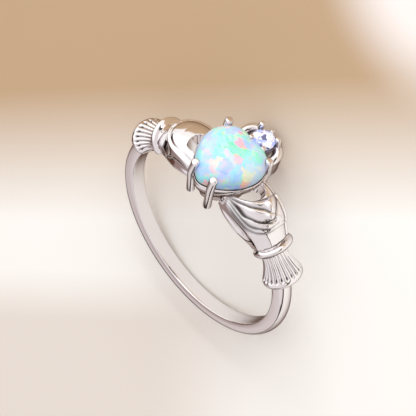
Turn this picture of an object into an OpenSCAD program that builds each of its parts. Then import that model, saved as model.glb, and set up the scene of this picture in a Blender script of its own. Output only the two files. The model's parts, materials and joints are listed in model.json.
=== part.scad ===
/* [Finger band] */
// Inside diameter of the band, US size 7
bore_d = 17.3; // [14:0.1:22]
// Width of the band along the finger
band_w = 1.4; // [1:0.1:3]
// Thickness of the band at its flat sides
band_side_t = 1; // [0.7:0.05:1.6]
// Extra thickness at the crest of the band's rounded outer face
band_crest = 0.3; // [0.1:0.02:0.8]

/* [Hands] */
// Width of a hand along the finger, at its widest
hand_w = 4.4; // [3:0.1:6]
// Height of a hand's crest above the finger
hand_h = 2.65; // [1.4:0.05:3.5]
// Offset of the hands and the heart towards the heart's point
head_shift = 0.6; // [0:0.05:1.5]
// Angle from the top of the ring to the wrist end of a hand
hand_end = 41; // [30:1:55]
// Width of the opening between the two arms of a hand
fork_w = 2.5; // [1:0.1:3.4]
// Angle from the top of the ring to the closed end of that opening
fork_end = 20.9; // [14:0.5:30]
// Thickness of the hand's arm on the crown side
arm_t = 1.45; // [0.8:0.05:1.8]
// Depth of the folds between the fingers
fold_depth = 0.12; // [0:0.01:0.25]
// Thickness of the raised rim round the back of a hand
rim_t = 0.24; // [0.1:0.02:0.4]

/* [Sleeves] */
// Full width of the cuff roll at the wrist
roll_w = 3.6; // [2.4:0.1:5]
// Height of the cuff roll above the finger
roll_h = 2.5; // [1.4:0.05:3]
// Angle covered by the roll, the neck and the flare together
sleeve_span = 23.5; // [16:1:32]
// Number of flutes counted round the whole sleeve
flutes = 20; // [10:2:28]
// Depth of the flutes where the sleeve flares out
flute_depth = 0.14; // [0:0.01:0.25]

/* [Heart stone] */
// Width of the heart stone
heart_w = 5.95; // [4:0.1:8]
// Height of the stone's girdle above the finger
heart_lift = 3.3; // [2.5:0.05:4.5]
// Height of the dome above the girdle
heart_dome = 1.9; // [0.8:0.05:3]
// Depth of the stone below its girdle
heart_back = 0.8; // [0.4:0.05:1.4]
// Clearance between each stone and its setting
stone_gap = 0.03; // [0.01:0.005:0.08]

/* [Heart setting] */
// Thickness of the setting's wall
wall_t = 0.42; // [0.3:0.02:0.8]
// Width of the setting at its foot, as a share of the stone
foot_share = 0.66; // [0.5:0.01:0.9]
// Diameter of a prong
prong_d = 0.72; // [0.5:0.02:1]
// Height of the prong tips above the stone's girdle
prong_rise = 0.85; // [0.4:0.02:1.2]
// How far the settings' rims stand outside their stones
rim_over = 0.1; // [0.05:0.01:0.2]
// Depth inside the finger hole at which the solids of the head start, before it trims them
trim_depth = 0.42; // [0.3:0.02:0.6]

/* [Crown] */
// Diameter of the round stone
round_d = 2.1; // [1.5:0.1:3]
// Distance from the middle of the band to the middle of the round stone
crown_reach = 3.8; // [3.5:0.05:6]
// Height of the round stone's girdle above the finger
crown_lift = 2.6; // [1.6:0.05:3.5]
// Diameter of a crown prong
crown_prong_d = 0.5; // [0.34:0.02:0.7]
// Full width across the two curled ears of the crown
ear_span = 3.5; // [3:0.05:5]
// Thickness of an ear
ear_t = 0.66; // [0.3:0.02:0.8]
// Distance between the two feet the crown rests on
feet_span = 2.4; // [2:0.05:3.4]
// Distance from the middle of the round stone back to the feet
feet_out = 0.9; // [0.5:0.05:1.5]
// Diameter of the bar that ties the crown to the heart's setting
tie_d = 0.9; // [0.5:0.05:1.2]
// Diameter of a strut from an ear down to the hand
strut_d = 0.64; // [0.4:0.02:0.9]

/* [Hidden] */
bore_r = bore_d / 2;
edge_r = bore_r + band_side_t;
// the solids start a little inside the finger hole and are trimmed by it
skin_r = bore_r - trim_depth;
girdle_z = bore_r + heart_lift;
round_z = bore_r + crown_lift;
prong_r = prong_d / 2;
crown_prong_r = crown_prong_d / 2;
round_r = round_d / 2;
crest_r = (pow(band_w / 2, 2) + pow(band_crest, 2)) / (2 * band_crest);
// cuts run this far past the faces they open
past = 1;

// angle from the top of the ring where a hand starts, inside the heart's setting
hand_start = 9;
hand_y = -0.13 * head_shift;
// back of a hand. Columns: share of the way from the setting to the wrist, half width at the finger,
// rim towards the heart's point, rim towards the crown, height of each rim, height of the crest
// the smooth hand ends in a rounded rim before the wrist
SMOOTH = [
    [0.00, 0.84, 0.92, 0.83, 0.27, 0.51, 0.85],
    [0.16, 0.95, 0.98, 0.90, 0.32, 0.58, 0.93],
    [0.31, 0.99, 0.98, 0.94, 0.44, 0.62, 0.98],
    [0.47, 0.98, 0.93, 0.95, 0.57, 0.66, 1.00],
    [0.59, 0.93, 0.82, 0.92, 0.62, 0.68, 1.00],
    [0.69, 0.86, 0.67, 0.89, 0.66, 0.70, 0.97],
    [0.77, 0.80, 0.50, 0.82, 0.70, 0.70, 0.92],
    [0.83, 0.75, 0.32, 0.70, 0.71, 0.71, 0.86],
    [0.87, 0.71, 0.22, 0.57, 0.71, 0.71, 0.79],
    [0.92, 0.67, 0.36, 0.42, 0.60, 0.60, 0.66],
    [1.00, 0.62, 0.52, 0.52, 0.52, 0.52, 0.60]];
// the folded hand runs on into the cuff roll
FOLDED = [
    [0.00, 0.84, 0.92, 0.83, 0.27, 0.51, 0.85],
    [0.16, 0.95, 0.98, 0.90, 0.32, 0.58, 0.93],
    [0.31, 0.99, 0.98, 0.94, 0.40, 0.62, 0.98],
    [0.47, 0.98, 0.95, 0.95, 0.46, 0.64, 1.00],
    [0.59, 0.93, 0.90, 0.92, 0.48, 0.64, 0.99],
    [0.69, 0.86, 0.85, 0.89, 0.48, 0.62, 0.96],
    [0.77, 0.80, 0.80, 0.85, 0.46, 0.60, 0.91],
    [0.87, 0.72, 0.74, 0.78, 0.42, 0.56, 0.84],
    [1.00, 0.64, 0.70, 0.70, 0.36, 0.50, 0.78]];

// sleeve. Columns: share of its span, half width, middle height, half height, share of the flute depth
SLEEVE = [
    [0.00, 0.86, 0.29, 0.52, 0], [0.04, 0.97, 0.31, 0.63, 0], [0.09, 1.00, 0.32, 0.68, 0],
    [0.14, 0.97, 0.31, 0.64, 0], [0.19, 0.86, 0.29, 0.53, 0], [0.22, 0.71, 0.27, 0.37, 0],
    [0.28, 0.67, 0.27, 0.32, 0.3], [0.42, 0.69, 0.28, 0.34, 0.6], [0.55, 0.76, 0.31, 0.40, 0.9],
    [0.67, 0.87, 0.34, 0.48, 1], [0.76, 0.97, 0.35, 0.55, 0.8], [0.80, 1.02, 0.35, 0.59, 0.1],
    [0.86, 1.02, 0.35, 0.60, 0], [0.92, 0.94, 0.35, 0.53, 0], [0.97, 0.72, 0.33, 0.36, 0],
    [1.00, 0.42, 0.30, 0.20, 0]];

// outline of the heart: distance from the middle, in shares of half the width, every 15 degrees
// from the point at -90 to the cleft at 90
HEART = [1.018, 0.962, 0.902, 0.866, 0.865, 0.898, 0.954, 1.033, 1.101, 1.150, 1.160, 1.110, 1.015];
heart_n = 48;

// prongs on each side of the heart, by their angle from the middle of the stone
PRONGS = [-67, 44];

// curl of an ear from the heart's lobe to the crown's foot. Columns: share of half the ear span,
// share of the way from the middle of the round stone to the foot, height share of the crown's lift
EAR = [[0.90, -1.40, 0.70], [1.00, -0.60, 0.76], [1.00, 0.00, 0.80], [0.88, 0.48, 0.82], [0.64, 0.80, 0.82]];

function blend(a, b, c, d, t) =
    b + 0.5 * t * (c - a + t * (2 * a - 5 * b + 4 * c - d + t * (3 * (b - c) + d - a)));
// the row of a table that holds the share s
function row_of(table, s, i = 0) = i >= len(table) - 2 || table[i + 1][0] > s ? i : row_of(table, s, i + 1);
// a smooth value between the rows of a table
function at(table, s, col) =
    let (i = row_of(table, s), n = len(table) - 1, p = table[i], q = table[i + 1])
    blend(table[max(i - 1, 0)][col], p[col], q[col], table[min(i + 2, n)][col],
          (s - p[0]) / (q[0] - p[0]));
function heart_share(a) =
    let (u = (90 + (a > 90 ? 180 - a : a < -90 ? -180 - a : a)) / 15, i = min(floor(u), 11))
    blend(HEART[max(i - 1, 0)], HEART[i], HEART[i + 1], HEART[i == 11 ? 10 : i + 2], u - i);
function heart_r(a) = heart_share(a) * heart_w / 2;
function heart_ring(share, z, grow = 0) =
    [for (k = [0:heart_n - 1]) let (a = -180 + 360 * k / heart_n, r = heart_r(a) * share + grow)
        [r * cos(a), r * sin(a) - head_shift, z]];

// folds between the fingers, 0 to -1, by the angle from the top and the place across the hand
fork_y = -head_shift / 2;
fork_mid = fork_end - asin(fork_w / 2 / (bore_r + hand_h));
function folds(a, y) =
    let (x = (bore_r + hand_h) * sin(a - fork_mid), v = y - fork_y,
         turn = x > 0 ? atan2(v, x) : sign(v) * 90,
         d = (x > 0 ? norm([x, v]) : abs(v)) - fork_w / 2,
         // the folded part is widest round the closed end of the opening
         room = hand_w * (0.22 + 0.5 * pow(cos(turn), 1.4)),
         q = min(max(d / room, 0), 1),
         // folds on the point side, and fewer on the crown side
         count = v < 0 ? 2.6 : 1.6 + min(1, max(0, cos(turn))))
    -(0.5 - 0.5 * cos(360 * q * count)) * min(1, (1 - q) / 0.07);

// section of a hand: crown side up over the back and down to the point side
hand_cols = 28;
hand_rows = 16;
sleeve_cols = hand_cols + 10;
// raised rim of height t: up the wall, over a small lip and down into the groove beside it
function lip(y, r, t) = [[y + 0.1 * rim_t, r - rim_t], [y, r + 0.3 * t], [y - 0.6 * rim_t, r + 0.4 * t],
                         [y - 0.9 * rim_t, r - 0.2 * t]];
function hand_ring(table, s, depth) =
    let (a = hand_start + (hand_end - hand_start) * s, half = hand_w / 2,
         w = half * at(table, s, 1), near = half * at(table, s, 2), far = half * at(table, s, 3),
         low = bore_r + hand_h * at(table, s, 4), high = bore_r + hand_h * at(table, s, 5),
         top = bore_r + hand_h * at(table, s, 6),
         // rim and folds rise from nothing where the arm starts inside the setting
         grow = min(1, 5 * s),
         near_lip = lip(near, low, grow * rim_t),
         far_lip = lip(far, high, grow * rim_t),
         back = [for (k = [0:hand_cols]) let (u = 1 - 2 * k / hand_cols,
                     y = u > 0 ? u * (far - rim_t) : u * (near - rim_t),
                     rim = low + (high - low) * (0.5 + 0.5 * u),
                     r = rim + (top - rim) * pow(1 - pow(abs(u), 2.4), 0.8)
                         + depth * grow * folds(a, y + hand_y))
                 [y, r]],
         edge = [[w, skin_r], [w, bore_r + 0.3 * (high - bore_r)], each far_lip],
         other = [for (k = [3:-1:0]) [-near_lip[k][0], near_lip[k][1]]],
         wall = [[-w, bore_r + 0.3 * (low - bore_r)], [-w, skin_r]])
    [for (p = [each edge, each back, each other, each wall]) [p[1] * sin(a), p[0] + hand_y, p[1] * cos(a)]];

function sleeve_ring(row) =
    let (a = hand_end + 0.4 + sleeve_span * row[0], half = roll_w / 2 * row[1],
         mid = bore_r + roll_h * row[2], high = roll_h * row[3],
         arc = [for (k = [0:sleeve_cols]) let (t = 115 - 230 * k / sleeve_cols,
                    cut = 1 - flute_depth * row[4] * (0.5 + 0.5 * cos(t * flutes)) / high)
                [half * cut * sin(t), mid + high * cut * cos(t)]])
    [for (p = [[half * 0.8, skin_r], each arc, [-half * 0.8, skin_r]])
        [p[1] * sin(a), p[0], p[1] * cos(a)]];

function middle(ring) = ring * [for (p = ring) 1 / len(ring)];

// closed skin through equal rings, each end closed to its own middle
module loft(rings) {
    k = len(rings);
    n = len(rings[0]);
    polyhedron(
        [for (r = rings) each r, [for (c = [0:2]) middle([for (p = rings[0]) p[c]])],
         [for (c = [0:2]) middle([for (p = rings[k - 1]) p[c]])]],
        [for (i = [0:k - 2], j = [0:n - 1]) let (m = (j + 1) % n)
            each [[i * n + j, (i + 1) * n + m, i * n + m],
                  [i * n + j, (i + 1) * n + j, (i + 1) * n + m]],
         for (j = [0:n - 1]) let (m = (j + 1) % n)
            each [[k * n, j, m], [k * n + 1, (k - 1) * n + m, (k - 1) * n + j]]]);
}

// the band runs from one sleeve round the back of the ring to the other
band_start = hand_end + 0.6 * sleeve_span;
module band() {
    rotate([90, 0, 0]) rotate(90 + band_start) rotate_extrude(angle = 360 - 2 * band_start, $fn = 180)
        intersection() {
            translate([skin_r, -band_w / 2]) square([edge_r + band_crest - skin_r, band_w]);
            // round outer face through both side edges and the crest
            translate([edge_r + band_crest - crest_r, 0]) circle(r = crest_r, $fn = 96);
        }
}

// a hand with its sleeve, in one sweep from the heart to the band
module arm(table, depth) {
    difference() {
        loft([for (i = [0:hand_rows]) hand_ring(table, i / hand_rows, depth),
              for (row = SLEEVE) sleeve_ring(row)]);
        fork();
    }
}
// opening between the two arms of a hand, and out under the far arm
module fork() {
    translate([0, fork_y, 0]) rotate([0, fork_mid, 0]) translate([0, 0, skin_r - past]) {
        linear_extrude(hand_h + 2 * past) slot(fork_w / 2);
        linear_extrude(bore_r + hand_h - arm_t - skin_r + past) slot(hand_w);
    }
}
module slot(far) {
    circle(d = fork_w, $fn = 32);
    translate([-2 * fork_w, -fork_w / 2]) square([2 * fork_w, fork_w / 2 + far]);
    if (far > fork_w) square([fork_w / 2, far]);
}
module both() {
    children();
    mirror([1, 0, 0]) children();
}

// the setting tapers from its straight rim to a foot at the finger
rim_low = girdle_z - heart_back - rim_over;
module heart_plate(share, grow) {
    polygon([for (p = heart_ring(share, 0, grow)) [p[0], p[1]]]);
}
module heart_setting() {
    difference() {
        union() {
            translate([0, 0, rim_low]) linear_extrude(0.8 * heart_back) heart_plate(1, rim_over);
            loft([heart_ring(foot_share, skin_r), heart_ring(foot_share + 0.08, bore_r + 0.3 * heart_lift),
                  heart_ring(0.92, rim_low - 0.1 * heart_lift),
                  heart_ring(1, rim_low + 0.06 * heart_lift, 0.8 * rim_over)]);
            both() for (a = PRONGS) heart_prong(a);
        }
        // hollow below the stone
        translate([0, 0, bore_r - past]) linear_extrude(heart_lift + past) heart_plate(foot_share, -wall_t);
        // seat of the stone
        translate([0, 0, girdle_z - heart_back - stone_gap])
            linear_extrude(heart_back + heart_dome) heart_plate(1, stone_gap);
    }
}
// a prong: out from the foot to a knee beside the girdle, then up to a round tip over the stone
module heart_prong(a) {
    r = heart_r(a) + 0.22 * prong_d;
    lean = prong_d / 6;
    tip = [(r - lean) * cos(a), (r - lean) * sin(a) - head_shift, girdle_z + prong_rise];
    knee = [r * cos(a), r * sin(a) - head_shift, girdle_z - 0.4 * heart_back];
    foot = [0.9 * r * cos(a), 0.85 * r * sin(a) - head_shift, skin_r];
    rod(foot, knee, prong_r);
    rod(knee, tip, prong_r);
    ball(knee, prong_r * 1.04);
    ball(tip, prong_r * 1.1);
}
// round bar from one point to another
module rod(p, q, r) {
    d = q - p;
    translate(p) rotate([0, acos(d[2] / norm(d)), atan2(d[1], d[0])]) cylinder(h = norm(d), r = r, $fn = 16);
}
module ball(p, r) {
    translate(p) sphere(r, $fn = 16);
}

dome_step = 9;
// the polished heart: flat underside, bevelled edge and full dome
module heart_stone() {
    loft([heart_ring(0.8, girdle_z - heart_back), heart_ring(0.93, girdle_z - 0.6 * heart_back),
          heart_ring(1, girdle_z - 0.15 * heart_back),
          for (t = [0:dome_step:90 - dome_step])
              heart_ring(pow(cos(t), 0.9), girdle_z + heart_dome * sin(t))]);
}

foot_y = crown_reach + feet_out;
foot_z = bore_r + crown_prong_r;
foot_r = crown_prong_r * 1.15;
// the crown's walls start at this height, clear of the finger
crown_floor = bore_r + 0.1 * crown_lift;
// brilliant cut: table, crown facets, girdle and pavilion
module round_stone() {
    translate([0, crown_reach, round_z]) hull() {
        linear_extrude(0.3 * round_r) rotate(11.25) circle(round_r * 0.58, $fn = 8);
        linear_extrude(0.14 * round_r) circle(round_r * 0.86, $fn = 16);
        translate([0, 0, -0.04 * round_r]) linear_extrude(0.05 * round_r)
            rotate(11.25) circle(round_r, $fn = 16);
        translate([0, 0, -0.86 * round_r]) linear_extrude(0.1 * round_r) circle(round_r * 0.04, $fn = 8);
    }
}
module crown_cup() {
    translate([0, crown_reach, 0]) rotate_extrude($fn = 32)
        polygon([[0, crown_floor], [0.62 * round_r, crown_floor],
                 [0.72 * round_r, crown_floor + 0.15 * round_r],
                 [round_r + rim_over, round_z - 0.33 * round_r],
                 [round_r + rim_over, round_z - 0.11 * round_r], [0, round_z - 0.11 * round_r]]);
}
// clear space for the round stone, open from above and below
module crown_seat() {
    seat_r = round_r + stone_gap;
    translate([0, crown_reach, 0]) rotate_extrude($fn = 32)
        polygon([[0, bore_r], [0.35 * round_r, bore_r], [0.35 * round_r, round_z - 0.6 * round_r],
                 [seat_r, round_z - 0.05 * round_r - stone_gap], [seat_r, round_z + 0.05 * round_r],
                 [0.8 * round_r, round_z + 0.2 * round_r], [0.8 * round_r, round_z + past],
                 [0, round_z + past]]);
}
// a point by its shares of the round stone's half width, from the middle of its girdle
function by_stone(p) = [0, crown_reach, round_z] + round_r * p;
module crown_prong(foot, tip, r) {
    rod(foot, tip, r);
    ball(tip, 1.12 * r);
}
module crown_prongs() {
    // two at the back, which end in the feet the crown rests on
    both() {
        knee = by_stone([1.1, 0.7, -0.24]);
        foot = [feet_span / 2, foot_y, foot_z];
        rod(foot, knee, crown_prong_r);
        ball(knee, crown_prong_r * 1.04);
        ball(foot, foot_r);
        crown_prong(knee, by_stone([0.92, 0.63, 0.48]), crown_prong_r);
    }
    // two beside the heart's cleft
    both() crown_prong([0.62 * round_r, crown_reach - 0.6 * round_r, crown_floor],
                       by_stone([0.7, -0.69, 0.1]), 0.9 * crown_prong_r);
    // one at the middle of the back
    crown_prong([0, crown_reach + 0.48 * round_r, bore_r + 0.2 * crown_lift],
                by_stone([0, 0.95, 0.29]), 0.85 * crown_prong_r);
}
function ear_at(s) =
    let (u = s * 4, i = min(floor(u), 3), t = u - i,
         p = [for (k = [i - 1, i, i + 1, i + 2]) EAR[min(max(k, 0), 4)]])
    [for (c = [0:2]) blend(p[0][c], p[1][c], p[2][c], p[3][c], t)];
function ear_point(s) = let (e = ear_at(s))
    [ear_span / 2 * e[0], crown_reach + (foot_y - crown_reach) * e[1], bore_r + crown_lift * e[2]];
// upright section swept along the curl: a round top on a straight wall
module ear() {
    steps = 10;
    loft([for (i = [0:steps]) let (s = i / steps, p = ear_point(s),
              d = ear_point(min(s + 0.02, 1)) - ear_point(max(s - 0.02, 0)),
              n = [-d[1], d[0]] / norm([d[0], d[1]]),
              top = [for (k = [0:6]) [0.5 * cos(k * 30), p[2] + 0.5 * ear_t * sin(k * 30)]])
          [for (q = [[0.42, crown_floor], each top, [-0.42, crown_floor]])
              [p[0] + n[0] * q[0] * ear_t, p[1] + n[1] * q[0] * ear_t, q[1]]]]);
}
module crown() {
    difference() {
        union() {
            crown_cup();
            crown_prongs();
            both() ear();
        }
        crown_seat();
    }
    // bar that ties the cup to the heart's setting
    tie_z = bore_r + 0.3 * crown_lift;
    rod([0, 0.3 * heart_w, tie_z], [0, crown_reach, tie_z], tie_d / 2);
    // struts from the ears down to the hands
    both() rod(ear_point(0.15) - [0, 0, 0.15 * ear_t],
               [0.54 * hand_w, 0.4 * hand_w, bore_r + 0.57 * hand_h], strut_d / 2);
}

rest_tilt = atan2(foot_y - band_w / 2, foot_z + edge_r)
    + asin(foot_r / norm([foot_y - band_w / 2, foot_z + edge_r]));
// the ring lies on the crown's two feet and the far edge of the band
module rest() {
    rotate([0, 0, 180]) rotate([rest_tilt - 90, 0, 0]) children();
}

// the hands, the heart's setting and the crown as one skin
module head() {
    resize([0, 0, 0]) union() {
        arm(FOLDED, fold_depth);
        mirror([1, 0, 0]) arm(SMOOTH, 0);
        heart_setting();
        crown();
    }
}
module ring_casting() {
    color("silver") rest() difference() {
        union() {
            band();
            head();
        }
        rotate([90, 0, 0]) cylinder(h = 4 * (crown_reach + round_r), r = bore_r, center = true, $fn = 180);
    }
}
module heart_opal() {
    color("aquamarine") rest() heart_stone();
}
module crown_stone() {
    color("lavender") rest() round_stone();
}

ring_casting();
heart_opal();
crown_stone();
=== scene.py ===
"""Claddagh ring of polished silver, with a heart-shaped opal and a round stone in its crown.

Each piece is shaped in the ring's own axes, in millimetres: the origin is the middle of the
finger bore, +Z runs up to the heart, +X to the hand with folded fingers and +Y along the finger
to the crown. It is then laid on its side in metres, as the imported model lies.
"""

from __future__ import annotations

import json
import logging
import math
from contextlib import contextmanager
from dataclasses import dataclass
from enum import Enum
from typing import Any, ClassVar, Iterator, Sequence

import bpy
import numpy as np
from mathutils import Matrix, Vector

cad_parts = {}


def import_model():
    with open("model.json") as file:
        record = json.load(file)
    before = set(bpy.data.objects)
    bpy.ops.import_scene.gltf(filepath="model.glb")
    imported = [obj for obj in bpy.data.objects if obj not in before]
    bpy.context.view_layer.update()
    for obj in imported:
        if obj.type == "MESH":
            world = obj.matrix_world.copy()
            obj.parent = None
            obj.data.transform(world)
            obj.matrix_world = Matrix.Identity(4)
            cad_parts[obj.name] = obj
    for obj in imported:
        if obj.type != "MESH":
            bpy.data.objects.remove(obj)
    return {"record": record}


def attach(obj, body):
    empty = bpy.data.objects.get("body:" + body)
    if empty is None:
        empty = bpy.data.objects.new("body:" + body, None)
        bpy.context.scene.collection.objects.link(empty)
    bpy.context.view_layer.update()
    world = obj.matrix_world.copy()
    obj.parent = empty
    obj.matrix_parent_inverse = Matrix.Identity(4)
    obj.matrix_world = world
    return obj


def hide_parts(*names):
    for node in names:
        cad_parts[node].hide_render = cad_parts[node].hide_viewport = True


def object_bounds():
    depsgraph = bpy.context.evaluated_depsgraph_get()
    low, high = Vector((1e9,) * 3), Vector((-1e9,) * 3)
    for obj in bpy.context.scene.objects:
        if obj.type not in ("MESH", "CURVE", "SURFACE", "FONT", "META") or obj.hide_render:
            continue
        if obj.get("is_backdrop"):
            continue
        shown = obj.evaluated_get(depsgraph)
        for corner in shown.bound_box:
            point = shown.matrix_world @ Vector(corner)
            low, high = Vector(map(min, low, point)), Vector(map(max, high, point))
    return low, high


Line = tuple[tuple[float, float], ...]
Rows = tuple[tuple[float, ...], ...]
Stops = tuple[tuple[float, str], ...]

log = logging.getLogger("claddagh_ring")
MM = 0.001
# distance from the finger's axis at which lengths round a hand are measured, in mm
CREST_R = 11.0
# half width of the painted shade at the bottom of a fold, in mm
FOLD_SHADE_W = 0.09
# a colour mix node's two colours and its result, which share their names with sockets of other types
MIX_A, MIX_B, MIX_OUT = 6, 7, 2


def linear(hex_colour: str) -> tuple[float, float, float, float]:
    """Turns an sRGB hex colour into linear values.

    Args:
        hex_colour: six hex digits.

    Returns:
        Linear red, green and blue, and a full alpha.
    """
    channels = [int(hex_colour[i : i + 2], 16) / 255 for i in (0, 2, 4)]
    red, green, blue = (c / 12.92 if c <= 0.04045 else ((c + 0.055) / 1.055) ** 2.4 for c in channels)
    return (red, green, blue, 1.0)


def feed(tree: bpy.types.NodeTree, node: bpy.types.Node, inputs: dict[Any, Any]) -> None:
    """Feeds the inputs of a shader node.

    Args:
        tree: the node tree.
        node: the node.
        inputs: input name or number to the output socket, or to the constant value, that feeds it.
    """
    for name, value in inputs.items():
        socket = node.inputs[name]
        if isinstance(value, bpy.types.NodeSocket):
            tree.links.new(value, socket)
        else:
            socket.default_value = value


def add_node(
    tree: bpy.types.NodeTree, kind: str, inputs: dict[Any, Any] | None = None, **settings: Any
) -> bpy.types.Node:
    """Adds a shader node with its settings, input values and links.

    Args:
        tree: the node tree.
        kind: the node's type name.
        inputs: what feeds its inputs.
        settings: properties of the node itself.

    Returns:
        The new node.
    """
    node = tree.nodes.new(kind)
    for name, value in settings.items():
        setattr(node, name, value)
    feed(tree, node, inputs or {})
    return node


def ramp(node: bpy.types.Node, stops: Sequence[tuple[float, str]]) -> bpy.types.Node:
    """Sets the colours of a colour ramp.

    Args:
        node: a colour ramp node.
        stops: position and sRGB hex colour of each stop, in order.

    Returns:
        The same node.
    """
    elements = node.color_ramp.elements
    while len(elements) < len(stops):
        elements.new(0.5)
    for element, (place, colour) in zip(elements, stops):
        element.position = place
        element.color = linear(colour)
    return node


def start_material(name: str) -> tuple[bpy.types.Material, bpy.types.NodeTree, bpy.types.Node]:
    """Starts a material.

    Args:
        name: its name.

    Returns:
        The material, its node tree and its main shader.
    """
    made = bpy.data.materials.new(name)
    made.use_nodes = True
    return made, made.node_tree, made.node_tree.nodes["Principled BSDF"]


def scale_for(size_mm: float) -> float:
    """Scale of a pattern whose grains or cells have this real size, on coordinates in metres."""
    return 1 / (size_mm * MM)


def named(name: str) -> bpy.types.Object:
    """Names the active object and its mesh, and returns the object."""
    obj = bpy.context.object
    obj.name = obj.data.name = name
    return obj


def put(obj: bpy.types.Object, points: Any) -> None:
    """Moves a mesh's vertices to these points, in order."""
    obj.data.vertices.foreach_set("co", np.asarray(points, np.float32).reshape(-1))


def smooth_rows(table: Sequence[Sequence[float]], shares: np.ndarray) -> np.ndarray:
    """Reads a table of sections on one smooth curve through its rows.

    Args:
        table: rows that start with their share of the way, in rising order.
        shares: the shares to read at.

    Returns:
        One row of the other columns for each share.
    """
    rows = np.asarray(table, float)
    keys, last = rows[:, 0], len(rows) - 1
    i = np.clip(np.searchsorted(keys, shares, side="right") - 1, 0, last - 1)
    t = ((shares - keys[i]) / (keys[i + 1] - keys[i]))[:, None]
    a, b = rows[np.maximum(i - 1, 0), 1:], rows[i, 1:]
    c, d = rows[i + 1, 1:], rows[np.minimum(i + 2, last), 1:]
    return b + 0.5 * t * (c - a + t * (2 * a - 5 * b + 4 * c - d + t * (3 * (b - c) + d - a)))


def smooth_curve(points: Sequence[Sequence[float]], steps: int) -> np.ndarray:
    """Runs one smooth curve through a few points.

    Args:
        points: the points, in two or three dimensions.
        steps: number of points on the curve.

    Returns:
        The curve's points.
    """
    table = [[i, *p] for i, p in enumerate(points)]
    return smooth_rows(table, np.linspace(0, len(points) - 1 - 1e-9, steps))


def bell(distance: np.ndarray, width: float) -> np.ndarray:
    """A smooth hump of height 1 and that half width."""
    return np.exp(-((distance / width) ** 2))


def ease(t: np.ndarray) -> np.ndarray:
    """Turns an even rise from 0 to 1 into one that starts and ends softly."""
    return t * t * (3 - 2 * t)


def nearest(
    curve: np.ndarray, arc: np.ndarray, across: np.ndarray
) -> tuple[np.ndarray, np.ndarray, np.ndarray]:
    """Measures places on a hand against a curve.

    Args:
        curve: the curve's points, in mm round the ring and along the finger.
        arc: length round the ring of each place, in mm.
        across: place along the finger, in mm.

    Returns:
        Distance to the curve, share of the way along it, and side of it: 1 on its left, else -1.
    """
    best = np.full(arc.shape, 1e9)
    along, side = np.zeros(arc.shape), np.ones(arc.shape)
    step = np.diff(curve, axis=0)
    for k, (p, d) in enumerate(zip(curve, step)):
        # the first and the last stretch run on past the curve's ends
        t = ((arc - p[0]) * d[0] + (across - p[1]) * d[1]) / (d @ d)
        t = np.clip(t, -8 if k == 0 else 0, 9 if k == len(step) - 1 else 1)
        distance = np.hypot(arc - p[0] - t * d[0], across - p[1] - t * d[1])
        near = distance < best
        best = np.where(near, distance, best)
        along = np.where(near, (k + np.clip(t, 0, 1)) / len(step), along)
        side = np.where(near, np.sign(d[0] * (across - p[1]) - d[1] * (arc - p[0])), side)
    return best, along, side


def on_ring(line: Line, steps: int = 56) -> np.ndarray:
    """Turns a line of angles and places along the finger into a smooth curve in mm, at the hand's crest."""
    return smooth_curve([(math.radians(a) * CREST_R, y) for a, y in line], steps)


def bend(r: np.ndarray, y: np.ndarray, turn: np.ndarray | float, side: int = 1) -> np.ndarray:
    """Places points round the finger.

    Args:
        r: distance of each point from the finger's axis.
        y: place along the finger.
        turn: angle from the top of the ring, in radians.
        side: 1 towards +X, -1 for the mirrored half.

    Returns:
        The points, with their three coordinates last.
    """
    return np.stack([side * r * np.sin(turn), y, r * np.cos(turn)], axis=-1)


def level(r: np.ndarray | float, angles: np.ndarray, middle: float, height: float) -> np.ndarray:
    """Places the points of one flat section round an upright axis.

    Args:
        r: distance of each point from that axis.
        angles: direction of each point, in degrees.
        middle: the axis's place along the finger.
        height: the section's height.

    Returns:
        One point a row.
    """
    x = r * np.cos(np.radians(angles))
    return np.stack([x, middle + r * np.sin(np.radians(angles)), np.full(len(angles), height)], axis=1)


def outward(bearing: float, height: float) -> Vector:
    """Unit vector away from the ring, by its bearing from +X and its height above the table in degrees."""
    a, e = math.radians(bearing), math.radians(height)
    return Vector((math.cos(a) * math.cos(e), math.sin(a) * math.cos(e), math.sin(e)))


class Slot(Enum):
    """Material slots of the record."""

    SILVER = "silver"
    OPAL = "opal"
    CRYSTAL = "crystal"


class Side(Enum):
    """Halves of the ring, by their direction along X."""

    RIGHT = 1
    LEFT = -1

    @property
    def word(self) -> str:
        """The side as it stands in a piece's name."""
        return self.name.lower()


@dataclass(frozen=True)
class Mark:
    """A line that the caster's wax carver worked into the back of a hand.

    Fields: the line's points as angle from the top of the ring in degrees and place along the
    finger in mm, the height in mm (below zero for a fold), the half width in mm, whether the line
    is a sharp crease with round shoulders or a soft hump, and how dark the painted shade at its
    bottom is.
    """

    line: Line
    height: float
    width: float
    sharp: bool = True
    dark: float = 0.0

    def relief(self, arc: np.ndarray, across: np.ndarray) -> np.ndarray:
        """Height that the line adds at each place on the hand.

        Args:
            arc: length round the ring, in mm.
            across: place along the finger, in mm.

        Returns:
            Added height at each place, a quarter of the full one at the line's ends.
        """
        best, along, _ = nearest(on_ring(self.line), arc, across)
        fade = np.clip(np.minimum(along, 1 - along) / 0.14, 0, 1) ** 0.7
        shape = np.exp(-best / self.width) if self.sharp else bell(best, self.width)
        return self.height * shape * (0.25 + 0.75 * fade)

    def recess(self, arc: np.ndarray, across: np.ndarray) -> np.ndarray:
        """How dark the painted shade along the line is at each place.

        Args:
            arc: length round the ring, in mm.
            across: place along the finger, in mm.

        Returns:
            Darkness at each place, 0 to 1.
        """
        best, along, _ = nearest(on_ring(self.line), arc, across)
        fade = np.clip(np.minimum(along, 1 - along) / 0.2, 0, 1)
        return self.dark * bell(best, FOLD_SHADE_W) * fade


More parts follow.
